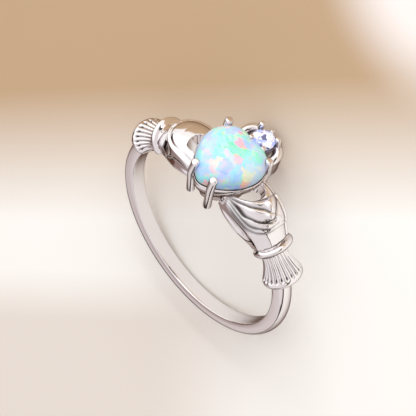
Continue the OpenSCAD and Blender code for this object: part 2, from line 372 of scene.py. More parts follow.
@dataclass(frozen=True)
class Drape:
    """Folds that fan out side by side: a round roll between each line and the next.

    Fields: the lines, the height in mm of the roll after each but the last, how dark the painted
    shade at the bottom of each line is, and the distance between two lines in mm from which a roll
    has its height.
    """

    lines: tuple[Line, ...]
    heights: tuple[float, ...]
    darks: tuple[float, ...]
    full_width: float = 0.42

    def relief(self, arc: np.ndarray, across: np.ndarray) -> np.ndarray:
        """Height that the rolls add at each place on the hand.

        Args:
            arc: length round the ring, in mm.
            across: place along the finger, in mm.

        Returns:
            Added height at each place, nothing outside the first and the last line.
        """
        measured = [nearest(on_ring(line), arc, across) for line in self.lines]
        total = np.zeros(arc.shape)
        for (d0, _, s0), (d1, _, s1), height in zip(measured, measured[1:], self.heights):
            inside = (s0 < 0) & (s1 > 0)
            gap = d0 + d1
            t = d0 / np.maximum(gap, 1e-6)
            roll = np.sqrt(np.clip(4 * t * (1 - t), 0, 1)) * np.clip(gap / self.full_width, 0, 1)
            total = np.where(inside, height * roll, total)
        return total

    def recess(self, arc: np.ndarray, across: np.ndarray) -> np.ndarray:
        """How dark the painted shade along the lines is at each place.

        Args:
            arc: length round the ring, in mm.
            across: place along the finger, in mm.

        Returns:
            Darkness at each place, 0 to 1.
        """
        total = np.zeros(arc.shape)
        for line, dark in zip(self.lines, self.darks):
            best, along, _ = nearest(on_ring(line), arc, across)
            fade = np.clip(along / 0.2, 0, 1) * np.clip((1 - along) / 0.12, 0, 1)
            total = np.maximum(total, dark * bell(best, FOLD_SHADE_W) * fade)
        return total


@dataclass(frozen=True)
class RhodiumSilver:
    """Sterling silver, cast, polished on a felt wheel and plated with rhodium.

    A bright, nearly neutral mirror, with the faint waviness that hand polishing leaves.
    """

    tone: str = "F8F5F6"
    # painted shade: the dark colour of the bottoms of folds and flutes
    recess: str = "241B19"
    edge: str = "7E6C65"
    roughness: float = 0.055
    wave_mm: float = 1.3
    wave_depth_mm: float = 0.04
    grain_mm: float = 0.09

    def material(self) -> bpy.types.Material:
        """Builds the metal's shader.

        Returns:
            The material.
        """
        made, tree, shader = start_material("rhodium_plated_silver")
        # painted shade: the metal is darkened towards a dark colour in the bottoms of folds and flutes, where
        # shade falls
        depth = add_node(tree, "ShaderNodeAttribute", attribute_name="recess").outputs["Fac"]
        tones = {"Factor": depth, MIX_A: linear(self.tone), MIX_B: linear(self.recess)}
        tone = add_node(tree, "ShaderNodeMix", tones, data_type="RGBA")
        place = add_node(tree, "ShaderNodeTexCoord").outputs["Object"]
        # polishing leaves broad, very low waves
        waves = {"Vector": place, "Scale": scale_for(self.wave_mm), "Detail": 1.0}
        wave = add_node(tree, "ShaderNodeTexNoise", waves)
        # felt marks are far finer than a pixel; they are drawn as coarse as the render can hold
        grains = {"Vector": place, "Scale": scale_for(self.grain_mm), "Detail": 3.0}
        grain = add_node(tree, "ShaderNodeTexNoise", grains)
        reach = {
            "Value": grain.outputs["Fac"],
            "From Min": 0.3,
            "From Max": 0.7,
            "To Min": self.roughness * 0.75,
            "To Max": self.roughness * 1.3,
        }
        rough = add_node(tree, "ShaderNodeMapRange", reach)
        swell = {"Height": wave.outputs["Fac"], "Strength": 0.12, "Distance": self.wave_depth_mm * MM}
        bump = add_node(tree, "ShaderNodeBump", swell)
        dress = {
            "Metallic": 1.0,
            "Base Color": tone.outputs[MIX_OUT],
            # the plating mirrors less at a glancing angle, which draws the thin dark outlines
            "Specular Tint": linear(self.edge),
            "Roughness": rough.outputs["Result"],
            "Normal": bump.outputs["Normal"],
        }
        feed(tree, shader, dress)
        return made


@dataclass(frozen=True)
class PrecipitatedOpal:
    """Milky opal, cut en cabochon: pale aqua body with flat patches of play of colour."""

    patch_mm: float = 1.0
    # the small patches are this many times finer than the large ones
    fineness: float = 2.3
    rag_mm: float = 0.7
    pull_mm: float = 1.5
    cloud_mm: float = 1.6
    roughness: float = 0.12
    veil: str = "A6CAD6"
    # strength of the stone's painted glow
    glow: float = 0.1
    patches: Stops = (
        (0.0, "68D48A"),
        (0.12, "80D2BA"),
        (0.24, "8DBDDC"),
        (0.38, "84A6DE"),
        (0.5, "AEA0DC"),
        (0.6, "96D6BE"),
        (0.7, "C2AAD8"),
        (0.78, "94B6E2"),
        (0.88, "E6D47C"),
        (0.94, "E49A8C"),
    )

    def colours(self, tree: bpy.types.NodeTree, place: bpy.types.NodeSocket) -> bpy.types.NodeSocket:
        """Lays small patches of colour over large ones.

        Args:
            tree: the stone's node tree.
            place: coordinates on the stone.

        Returns:
            The colour.
        """
        # the patches have ragged edges, so their cells are pulled about first
        rags = {"Vector": place, "Scale": scale_for(self.rag_mm), "Detail": 4.0, "Roughness": 0.62}
        rag = add_node(tree, "ShaderNodeTexNoise", rags).outputs["Color"]
        away = add_node(tree, "ShaderNodeVectorMath", {0: rag, 1: (0.5, 0.5, 0.5)}, operation="SUBTRACT")
        reach = {0: away.outputs[0], "Scale": self.pull_mm * MM}
        shift = add_node(tree, "ShaderNodeVectorMath", reach, operation="SCALE")
        moved = add_node(tree, "ShaderNodeVectorMath", {0: place, 1: shift.outputs[0]}, operation="ADD")
        layers = []
        for finer, channel in ((1.0, "Red"), (self.fineness, "Green")):
            size = {"Vector": moved.outputs[0], "Scale": finer * scale_for(self.patch_mm)}
            cells = add_node(tree, "ShaderNodeTexVoronoi", size)
            parts = add_node(tree, "ShaderNodeSeparateColor", {"Color": cells.outputs["Color"]})
            tint = add_node(tree, "ShaderNodeValToRGB", {"Fac": parts.outputs[channel]})
            layers.append(ramp(tint, self.patches).outputs["Color"])
        both = {"Factor": 0.38, MIX_A: layers[0], MIX_B: layers[1]}
        return add_node(tree, "ShaderNodeMix", both, data_type="RGBA").outputs[MIX_OUT]

    def material(self) -> bpy.types.Material:
        """Builds the stone's shader.

        Returns:
            The material.
        """
        made, tree, shader = start_material("milky_opal")
        place = add_node(tree, "ShaderNodeTexCoord").outputs["Object"]
        colour = self.colours(tree, place)
        # milky body between the patches
        clouds = {"Vector": place, "Scale": scale_for(self.cloud_mm), "Detail": 2.0}
        cloud = add_node(tree, "ShaderNodeTexNoise", clouds).outputs["Fac"]
        reach = {"Value": cloud, "From Min": 0.35, "From Max": 0.68, "To Min": 0.0, "To Max": 0.38}
        veil = add_node(tree, "ShaderNodeMapRange", reach).outputs["Result"]
        milk = {"Factor": veil, MIX_A: colour, MIX_B: linear(self.veil)}
        body = add_node(tree, "ShaderNodeMix", milk, data_type="RGBA").outputs[MIX_OUT]
        dress = {
            "Base Color": body,
            "Roughness": self.roughness,
            "IOR": 1.45,
            "Subsurface Weight": 0.25,
            "Subsurface Radius": (1.0, 1.1, 1.3),
            "Subsurface Scale": 0.3 * MM,
            # painted light: the stone glows in its own colours, standing in for light that its inner spheres
            # throw back
            "Emission Color": body,
            "Emission Strength": self.glow,
        }
        feed(tree, shader, dress)
        return made


@dataclass(frozen=True)
class CubicZirconia:
    """Clear cubic zirconia, cut as a brilliant: sharp facets with painted reflections and small painted blue
    and rose flashes.
    """

    flash_mm: float = 0.45
    facet_step: float = 0.06
    # strength of the stone's painted glow
    glow: float = 0.15
    # painted reflections and flashes: one colour for each facet and flash
    flashes: Stops = (
        (0.0, "F4F4FA"),
        (0.24, "D2D2E2"),
        (0.42, "A9B6EE"),
        (0.52, "F6F4FA"),
        (0.64, "565C80"),
        (0.74, "D8D6F0"),
        (0.86, "F2CCD8"),
        (0.91, "8FA6EA"),
    )

    def material(self) -> bpy.types.Material:
        """Builds the stone's shader.

        Returns:
            The material.
        """
        made, tree, shader = start_material("cubic_zirconia")
        place = add_node(tree, "ShaderNodeTexCoord").outputs["Object"]
        # painted reflections: each facet gets another colour, light or dark, as if it threw back another part
        # of the room, and small painted flashes cross it
        turn = add_node(tree, "ShaderNodeNewGeometry").outputs["True Normal"]
        steps = {0: turn, 1: (self.facet_step,) * 3}
        facet = add_node(tree, "ShaderNodeVectorMath", steps, operation="SNAP")
        size = {"Vector": place, "Scale": scale_for(self.flash_mm)}
        cells = add_node(tree, "ShaderNodeTexVoronoi", size)
        sum_of = {0: facet.outputs[0], 1: cells.outputs["Color"]}
        both = add_node(tree, "ShaderNodeVectorMath", sum_of, operation="ADD")
        pick = add_node(tree, "ShaderNodeTexWhiteNoise", {"Vector": both.outputs[0]}, noise_dimensions="3D")
        tint = ramp(add_node(tree, "ShaderNodeValToRGB", {"Fac": pick.outputs["Value"]}), self.flashes)
        tint.color_ramp.interpolation = "CONSTANT"
        dress = {
            "Base Color": tint.outputs["Color"],
            "Roughness": 0.02,
            "IOR": 2.15,
            "Transmission Weight": 0.2,
            # painted light: the stone glows in its facet colours, standing in for light that the pavilion's
            # facets throw back up through the table
            "Emission Color": tint.outputs["Color"],
            "Emission Strength": self.glow,
        }
        feed(tree, shader, dress)
        return made


@dataclass(frozen=True)
class SeatShade:
    """Silver under a set stone, rougher than the polished metal and darkened with painted shade: a soft grey
    that shows no sharp mirror image.
    """

    # painted shade: a darker grey than the polished silver
    tone: str = "B8B0BA"
    low_tone: str = "9A929C"
    grain_mm: float = 0.12

    def material(self) -> bpy.types.Material:
        """Builds the metal's shader.

        Returns:
            The material.
        """
        made, tree, shader = start_material("dulled_silver")
        place = add_node(tree, "ShaderNodeTexCoord").outputs["Object"]
        grains = {"Vector": place, "Scale": scale_for(self.grain_mm), "Detail": 3.0}
        grain = add_node(tree, "ShaderNodeTexNoise", grains).outputs["Fac"]
        stops = [(0.35, self.low_tone), (0.65, self.tone)]
        shade = ramp(add_node(tree, "ShaderNodeValToRGB", {"Fac": grain}), stops)
        feed(tree, shader, {"Metallic": 1.0, "Base Color": shade.outputs["Color"], "Roughness": 0.35})
        return made


@dataclass(frozen=True)
class CreamPaper:
    """Smooth cream paper with painted light and shade: white round the ring, beige beyond the heart, and a
    faint glow of its own.

    Three plain colours run along `slope` between the two places in `slope_mm`. The beige beyond the
    heart is painted shade, where the paper falls away from the light, and the dusk side, which comes
    in along `turn_away`, has a painted soft shadow as well. Beyond the camera's view the paper is
    white again.
    """

    white: str = "ECEAE6"
    # painted shadow: a soft grey on the side away from the window
    shade: str = "D8D0C8"
    # painted shade: beige where the paper falls away from the light
    beige: str = "B89C7C"
    slope: tuple[float, float, float] = (0.745, -0.667, 0.0)
    slope_mm: tuple[float, float] = (-20.0, 30.0)
    turn_away: tuple[float, float, float] = (0.896, 0.444, 0.0)
    dusk_mm: tuple[float, float] = (-5.0, 11.0)
    window_side: Stops = ((0.4, white), (0.65, beige), (0.85, beige), (0.9, white))
    dusk_side: Stops = ((0.2, shade), (0.3, white), *window_side)
    pool: str = "EDE6E2"
    pool_at_mm: tuple[float, float, float] = (-5.5, -35.8, -2.86)
    # the pool of light starts at the first distance from its middle and is full at the second
    pool_mm: tuple[float, float] = (13.0, 4.0)
    # colour and strength of the sheet's painted glow
    glow: str = "FFF0DE"
    glow_strength: float = 0.13
    fibre_mm: float = 0.6

    def sweep(self, tree: bpy.types.NodeTree, place: bpy.types.NodeSocket) -> bpy.types.NodeSocket:
        """Runs the paper's colours across the table.

        Args:
            tree: the paper's node tree.
            place: coordinates on the table.

        Returns:
            The colour.
        """
        shares = []
        for way, (start, end), kind in (
            (self.slope, self.slope_mm, "LINEAR"),
            (self.turn_away, self.dusk_mm, "SMOOTHSTEP"),
        ):
            along = add_node(tree, "ShaderNodeVectorMath", {0: place, 1: way}, operation="DOT_PRODUCT")
            reach = {"Value": along.outputs["Value"], "From Min": start * MM, "From Max": end * MM}
            share = add_node(tree, "ShaderNodeMapRange", reach, interpolation_type=kind)
            shares.append(share.outputs["Result"])
        sides = [
            ramp(add_node(tree, "ShaderNodeValToRGB", {"Fac": shares[0]}), stops).outputs["Color"]
            for stops in (self.window_side, self.dusk_side)
        ]
        mix = {"Factor": shares[1], MIX_A: sides[0], MIX_B: sides[1]}
        return add_node(tree, "ShaderNodeMix", mix, data_type="RGBA").outputs[MIX_OUT]

    def material(self) -> bpy.types.Material:
        """Builds the paper's shader.

        Returns:
            The material.
        """
        made, tree, shader = start_material("cream_paper")
        place = add_node(tree, "ShaderNodeTexCoord").outputs["Object"]
        sweep = self.sweep(tree, place)
        # a pool of window light lies beyond the crown
        middle = [v * MM for v in self.pool_at_mm]
        away = add_node(tree, "ShaderNodeVectorMath", {0: place, 1: middle}, operation="DISTANCE")
        start, end = self.pool_mm
        reach = {"Value": away.outputs["Value"], "From Min": start * MM, "From Max": end * MM}
        pool = add_node(tree, "ShaderNodeMapRange", reach, interpolation_type="SMOOTHSTEP")
        light = {"Factor": pool.outputs["Result"], MIX_A: sweep, MIX_B: linear(self.pool)}
        tone = add_node(tree, "ShaderNodeMix", light, data_type="RGBA").outputs[MIX_OUT]
        warm = {"Factor": 1.0, MIX_A: tone, MIX_B: linear(self.glow)}
        lit = add_node(tree, "ShaderNodeMix", warm, data_type="RGBA", blend_type="MULTIPLY")
        fibres = {"Vector": place, "Scale": scale_for(self.fibre_mm), "Detail": 3.0}
        fibre = add_node(tree, "ShaderNodeTexNoise", fibres).outputs["Fac"]
        bump = add_node(tree, "ShaderNodeBump", {"Height": fibre, "Strength": 0.05, "Distance": 0.01 * MM})
        dress = {
            "Base Color": tone,
            # painted light: the sheet glows a little, as though lamps under the table shone through it
            "Emission Color": lit.outputs[MIX_OUT],
            "Emission Strength": self.glow_strength,
            "Roughness": 0.85,
            "Normal": bump.outputs["Normal"],
        }
        feed(tree, shader, dress)
        return made


@dataclass
class Bench:
    """The work bench, where meshes are shaped in the ring's own axes.

    A bar's tip is rounded over this share of its radius, with a profile a little fuller than a round one.
    """

    to_frame: Matrix
    bar_sides: int = 32
    tip_share: float = 0.92
    tip_profile: float = 0.65

    def clear(self) -> None:
        """Deselects everything."""
        if bpy.context.object and bpy.context.object.mode != "OBJECT":
            bpy.ops.object.mode_set(mode="OBJECT")
        bpy.ops.object.select_all(action="DESELECT")

    def pick(self, obj: bpy.types.Object) -> None:
        """Selects one object alone and makes it active."""
        self.clear()
        obj.select_set(True)
        bpy.context.view_layer.objects.active = obj

    @contextmanager
    def editing(self) -> Iterator[None]:
        """Opens the active mesh with all of it selected, and turns its faces outwards at the end."""
        bpy.ops.object.mode_set(mode="EDIT")
        bpy.ops.mesh.select_all(action="SELECT")
        yield
        bpy.ops.mesh.select_all(action="SELECT")
        bpy.ops.mesh.normals_make_consistent(inside=False)
        bpy.ops.object.mode_set(mode="OBJECT")

    def sheet(self, name: str, outline: Any) -> bpy.types.Object:
        """Starts a mesh as one flat face.

        Args:
            name: the object's name.
            outline: the face's corners, in three coordinates.

        Returns:
            The new object.
        """
        self.clear()
        bpy.ops.mesh.primitive_circle_add(vertices=len(outline), radius=1, fill_type="NGON")
        obj = named(name)
        put(obj, outline)
        return obj

    def skin(
        self, name: str, rings: Any, looped: bool = False, recess: np.ndarray | None = None
    ) -> bpy.types.Object:
        """Wraps a closed skin round equal sections.

        Args:
            name: the object's name.
            rings: sections by points by three coordinates.
            looped: the last section joins the first; otherwise each end closes to its middle.
            recess: how dark the painted shade is at each point of an open skin, 0 to 1.

        Returns:
            The new object, with its faces outwards.
        """
        rings = np.asarray(rings)
        if looped:
            rows = np.concatenate([rings, rings[:1]])
        else:
            ends = [np.broadcast_to(r.mean(axis=0), r.shape)[None] for r in (rings[0], rings[-1])]
            rows = np.concatenate([ends[0], rings, ends[1]])
        rows = np.concatenate([rows, rows[:, :1]], axis=1)
        along, across = rows.shape[:2]
        self.clear()
        bpy.ops.mesh.primitive_grid_add(x_subdivisions=across - 1, y_subdivisions=along - 1, size=1)
        obj = named(name)
        put(obj, rows)
        if recess is not None:
            self.darken(obj, np.pad(recess, ((1, 1), (0, 1)), mode="edge").reshape(-1))
        with self.editing():
            bpy.ops.mesh.remove_doubles(threshold=2e-4)
        return obj

    def darken(self, obj: bpy.types.Object, recess: np.ndarray) -> None:
        """Stores how dark the painted shade is at each vertex, 0 to 1."""
        layer = obj.data.attributes.new("recess", "FLOAT", "POINT")
        layer.data.foreach_set("value", np.clip(recess, 0, 1).astype(np.float32))

    def slab(self, name: str, outline: Any, low: float, high: float) -> bpy.types.Object:
        """Stands a flat outline up into an upright slab.

        Args:
            name: the object's name.
            outline: points in the plane.
            low: height of the underside.
            high: height of the top.

        Returns:
            The new object.
        """
        obj = self.sheet(name, np.column_stack([outline, np.full(len(outline), low)]))
        with self.editing():
            bpy.ops.mesh.extrude_region_move(TRANSFORM_OT_translate={"value": (0, 0, high - low)})
        return obj

    def bar(self, name: str, path: Sequence[Sequence[float]], radius: float) -> bpy.types.Object:
        """Draws a round bar along a path, with a domed top.

        Args:
            name: the object's name.
            path: points from the foot to the tip.
            radius: the bar's radius.

        Returns:
            The new object.
        """
        self.clear()
        points = [Vector(p) for p in path]
        turn = (points[1] - points[0]).to_track_quat("Z", "Y").to_euler()
        bpy.ops.mesh.primitive_circle_add(
            vertices=self.bar_sides, radius=radius, fill_type="NGON", location=points[0], rotation=turn
        )
        obj = named(name)
        bpy.ops.object.transform_apply(location=True, rotation=True, scale=True)
        with self.editing():
            for p, q in zip(points, points[1:]):
                bpy.ops.mesh.extrude_region_move(TRANSFORM_OT_translate={"value": q - p})
            offset = radius * self.tip_share
            bpy.ops.mesh.bevel(offset=offset, segments=8, profile=self.tip_profile, affect="EDGES")
        return obj

    def apply(self, obj: bpy.types.Object, kind: str, **settings: Any) -> None:
        """Adds a modifier with its settings and applies it.

        Args:
            obj: the object.
            kind: the modifier's type.
            settings: its properties.
        """
        self.pick(obj)
        modifier = obj.modifiers.new(kind.lower(), kind)
        for name, value in settings.items():
            setattr(modifier, name, value)
        bpy.ops.object.modifier_apply(modifier=modifier.name)

    def blunt(self, obj: bpy.types.Object, width: float, segments: int, angle: float) -> None:
        """Rounds the edges that are sharper than an angle.

        Args:
            obj: the object.
            width: the rounding's width, in mm.
            segments: its number of faces.
            angle: the angle, in degrees.
        """
        limit = math.radians(angle)
        self.apply(obj, "BEVEL", width=width, segments=segments, limit_method="ANGLE", angle_limit=limit)

    def cut(self, obj: bpy.types.Object, cutters: Sequence[bpy.types.Object]) -> None:
        """Cuts solids out of another one.

        Args:
            obj: the solid that stays.
            cutters: the solids that are cut out and then removed.
        """
        for cutter in cutters:
            self.apply(obj, "BOOLEAN", operation="DIFFERENCE", solver="EXACT", object=cutter)
            bpy.data.objects.remove(cutter)

    def melt(self, obj: bpy.types.Object, grain: float, steps: int) -> None:
        """Rounds a cast form over as polishing does.

        Args:
            obj: the object.
            grain: size of the new even faces, in mm.
            steps: smoothing steps.
        """
        self.apply(obj, "REMESH", mode="VOXEL", voxel_size=grain)
        self.apply(obj, "SMOOTH", factor=0.5, iterations=steps)


@dataclass(frozen=True)
class Sizes:
    """Sizes that more than one piece is made from, in mm and degrees, as in the part's source."""

    bore_r: float
    band_w: float = 1.4
    band_side: float = 1.0
    band_crest: float = 0.3
    hand_w: float = 4.4
    hand_h: float = 2.65
    head_shift: float = 0.6
    hand_start: float = 9.0
    hand_end: float = 41.0
    sleeve_gap: float = 0.4
    sleeve_span: float = 23.5
    heart_w: float = 5.95
    heart_lift: float = 3.3
    heart_dome: float = 1.9
    heart_back: float = 0.8
    heart_points: int = 192
    rim_over: float = 0.1
    round_d: float = 2.1
    crown_reach: float = 3.8
    crown_lift: float = 2.6
    heart_step: float = 15.0
    # distance to the heart's outline at each step from its point to its cleft, in half widths
    heart_shares: tuple[float, ...] = (
        *(1.018, 0.962, 0.902, 0.866, 0.865, 0.898, 0.954),
        *(1.033, 1.101, 1.150, 1.160, 1.110, 1.015),
    )

    @property
    def girdle_z(self) -> float:
        """Height of the heart stone's girdle."""
        return self.bore_r + self.heart_lift

    @property
    def round_z(self) -> float:
        """Height of the round stone's girdle."""
        return self.bore_r + self.crown_lift

    @property
    def crown_floor(self) -> float:
        """Height of the underside of the crown's cup and ears."""
        return self.bore_r + 0.1 * self.crown_lift

    def heart(self, angles: np.ndarray) -> np.ndarray:
        """Measures the heart stone's outline.

        Args:
            angles: directions from the heart's middle, in degrees from +X.

        Returns:
            Distance to the outline in each direction.
        """
        a = np.where(angles > 90, 180 - angles, np.where(angles < -90, -180 - angles, angles))
        shares = self.heart_shares
        # two steps past each end are those of the other half
        whole = [shares[2], shares[1], *shares, shares[-2], shares[-3]]
        return smooth_rows(list(enumerate(whole, -2)), (90 + a) / self.heart_step)[:, 0] * self.heart_w / 2


@dataclass
class Piece:
    """Something that the ring is assembled from: where it is shaped, the shared sizes and its finish."""

    node: ClassVar[str] = "ring_casting"
    slot: ClassVar[Slot] = Slot.SILVER

    bench: Bench
    sizes: Sizes
    finish: bpy.types.Material

    def build(self) -> None:
        """Shapes the piece and settles it."""
        raise NotImplementedError

    def settle(self, obj: bpy.types.Object, angle: float) -> None:
        """Lays a finished mesh in the frame, dresses it and hides the imported part that it stands in for.

        Args:
            obj: the mesh's object, in the ring's own axes.
            angle: edges sharper than this many degrees stay sharp.
        """
        obj.data.transform(self.bench.to_frame)
        obj.data.update()
        obj.data.materials.clear()
        obj.data.materials.append(self.finish)
        self.bench.pick(obj)
        bpy.ops.object.shade_smooth_by_angle(angle=math.radians(angle))
        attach(obj, "root")
        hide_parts(self.node)
        log.info("%s: %d faces", obj.name, len(obj.data.polygons))


@dataclass
class Band(Piece):
    """The finger band: flat sides, a round outer face and lightly broken edges."""

    start: float = 55.0
    edge: float = 0.09
    outer_points: int = 15
    steps: int = 200

    def section(self) -> np.ndarray:
        """Works out the band's section.

        Returns:
            Distance from the finger's axis and place along it of each corner.
        """
        s = self.sizes
        half, crest = s.band_w / 2, s.band_crest
        arc_r = (half**2 + crest**2) / (2 * crest)
        middle = s.bore_r + s.band_side + crest - arc_r
        inner = [(s.bore_r, share * half) for share in (1, 0.5, 0, -0.5, -1)]
        ys = np.linspace(-half, half, self.outer_points)
        return np.array([*inner, *((middle + math.sqrt(arc_r**2 - y**2), y) for y in ys)])

    def build(self) -> None:
        """Spins the section round the finger from one sleeve to the other."""
        r, y = self.section().T
        obj = self.bench.sheet("band", bend(r, y, -math.radians(self.start)))
        sweep = math.radians(360 - 2 * self.start)
        with self.bench.editing():
            bpy.ops.mesh.spin(steps=self.steps, angle=sweep, center=(0, 0, 0), axis=(0, 1, 0))
            bpy.ops.mesh.select_all(action="SELECT")
            bpy.ops.mesh.remove_doubles(threshold=1e-4)
        self.bench.blunt(obj, self.edge, 3, 40)
        self.settle(obj, 60)


@dataclass
class Hand(Piece):
    """A cast hand: a crowned back with a rim, and an opening between its two arms.

    Lengths are in mm, angles in degrees, and heights of the neck in shares of the hand's height.
    """

    name: str
    side: Side
    table: Rows
    marks: tuple[Mark | Drape, ...]
    hole: Line
    palm: Line = ()
    neck_side: float = 0.34
    neck_crest: float = 0.6
    palm_edge: float = 0.3
    # a raised rim and a gutter inside it: distance from the edge, half width and height
    rims: Rows = ((0.12, 0.13, 0.09), (0.4, 0.12, -0.1))
    # the back's cross-section is (1 - |place| ** crest_n) ** crest_m: flat-topped, with steep sides
    crest_n: float = 2.4
    crest_m: float = 0.8
    arm_t: float = 1.35
    waist: float = 0.16
    # the hand's middle lies this share of the heart's shift towards the heart's point
    shift_share: float = 0.13
    hole_middle: float = 14.0
    overshoot: float = 1.5
    polish_grain: float = 0.042
    shade_from: float = 0.9
    columns: int = 150
    rows: int = 190
    wall_rows: int = 16
    under_columns: int = 14

    def back(self, shares: np.ndarray, turn: np.ndarray, sides: np.ndarray) -> tuple[np.ndarray, np.ndarray]:
        """Works out the back of the hand, from the crown side to the point side.

        Args:
            shares: share of the way to the wrist of each section.
            turn: angle of each section from the top of the ring, in radians.
            sides: for each section the rims' places and the three heights, from the table.

        Returns:
            Place along the finger and distance from its axis of each point.
        """
        s = self.sizes
        near, far, low, high, top = sides
        u = np.linspace(1, -1, self.columns)[None]
        y = np.where(u > 0, u * far, u * near)
        rim = low + (high - low) * (0.5 + 0.5 * u)
        swell = (1 - np.abs(u) ** self.crest_n) ** self.crest_m
        r = rim + (top - rim) * swell
        arc, across = np.broadcast_to(turn * CREST_R, y.shape), y - self.shift_share * s.head_shift
        relief = sum(mark.relief(arc, across) for mark in self.marks)
        edge = np.minimum(far - y, y + near)
        # the rim grows over the first fifth of the way
        grow = np.clip(5 * shares, 0, 1)
        if self.palm:
            # the palm ends in a rounded rim, and a lower neck goes on to the wrist
            away, _, side = nearest(on_ring(self.palm, 120), arc, across)
            edge = np.minimum(edge, np.where(side < 0, away, 0))
            rise = ease(np.clip(0.5 - side * away / self.palm_edge, 0, 1))
            neck = s.bore_r + s.hand_h * (self.neck_side + (self.neck_crest - self.neck_side) * swell)
            r = np.minimum(neck, r) + np.maximum(r - neck, 0) * rise
            grow = grow * np.where(side < 0, 1, 0)
        rims = sum(height * bell(edge - place, width) for place, width, height in self.rims)
        return y, r + (relief + grow * rims)

    def sections(self) -> np.ndarray:
        """Works out the hand's sections, from the heart's setting to the wrist.

        Returns:
            Sections by points by three coordinates.
        """
        s = self.sizes
        half, base = s.hand_w / 2, s.bore_r
        shares = np.linspace(0, 1, self.rows)
        low_w, near, far, low, high, top = smooth_rows(self.table, shares).T[:, :, None]
        low_w, near, far = low_w * half, near * half, far * half
        low, high, top = base + s.hand_h * low, base + s.hand_h * high, base + s.hand_h * top
        shares = shares[:, None]
        turn = np.radians(s.hand_start + (s.hand_end - s.hand_start) * shares)
        y, r = self.back(shares, turn, np.array([near, far, low, high, top]))
        # walls, hollowed between the rim and a thin lip at the finger
        v = np.linspace(0, 1, self.wall_rows)[None, 1:-1]
        calm = 1 - np.clip((shares - 0.6) / 0.2, 0, 1)
        hollow = self.waist * calm * np.sin(np.pi * np.clip((v - 0.2) / 0.8, 0, 1)) ** 1.3
        far_y = low_w + (far - low_w) * ease(v) - hollow
        near_y = -(low_w + (near - low_w) * ease(v) - hollow)
        far_r = base + (r[:, :1] - base) * v
        near_r = base + (r[:, -1:] - base) * v
        under = np.linspace(-1, 1, self.under_columns)[None] * low_w
        y = np.concatenate([far_y, y, near_y[:, ::-1], under], axis=1) - self.shift_share * s.head_shift
        r = np.concatenate([far_r, r, near_r[:, ::-1], np.full(under.shape, base)], axis=1)
        return bend(r, y, turn, self.side.value)

    def opening(self) -> list[bpy.types.Object]:
        """Shapes the cutters of the opening: the slot between the arms, and the space below the far arm.

        Returns:
            The cutters.
        """
        s = self.sizes
        middle = math.radians(self.hole_middle)
        outline = smooth_curve(self.hole, 60)
        slot = np.column_stack([CREST_R * np.sin(np.radians(outline[:, 0]) - middle), outline[:, 1]])
        reach = slot[:, 0].max() - 0.1
        under = [(-3.0, 0.0), (reach, 0.0), (reach, 4.0), (-3.0, 4.0)]
        low, top = s.bore_r - self.overshoot, s.bore_r + s.hand_h
        made = [
            self.bench.slab(self.name + "_slot", slot, low, top + self.overshoot),
            # its underside lies a little higher, so that no two faces coincide
            self.bench.slab(self.name + "_under", under, low + 0.1, top - self.arm_t),
        ]
        for cutter in made:
            cutter.data.transform(Matrix.Rotation(middle, 4, "Y"))
            if self.side is Side.LEFT:
                cutter.data.transform(Matrix.Scale(-1, 4, (1, 0, 0)))
                cutter.data.flip_normals()
        return made

    def build(self) -> None:
        """Casts, cuts and polishes the hand."""
        obj = self.bench.skin(self.name, self.sections())
        self.bench.cut(obj, self.opening())
        self.bench.melt(obj, self.polish_grain, 5)
        place = np.empty(len(obj.data.vertices) * 3, np.float32)
        obj.data.vertices.foreach_get("co", place)
        x, y, z = place.reshape(-1, 3).T
        arc = np.arctan2(self.side.value * x, z) * CREST_R
        # painted shade darkens the folds on the back only, not the walls below it
        high = np.clip((np.hypot(x, z) - self.sizes.bore_r - self.shade_from) / 0.3, 0, 1)
        self.bench.darken(obj, high * np.max([m.recess(arc, y) for m in self.marks], axis=0))
        self.settle(obj, 180)


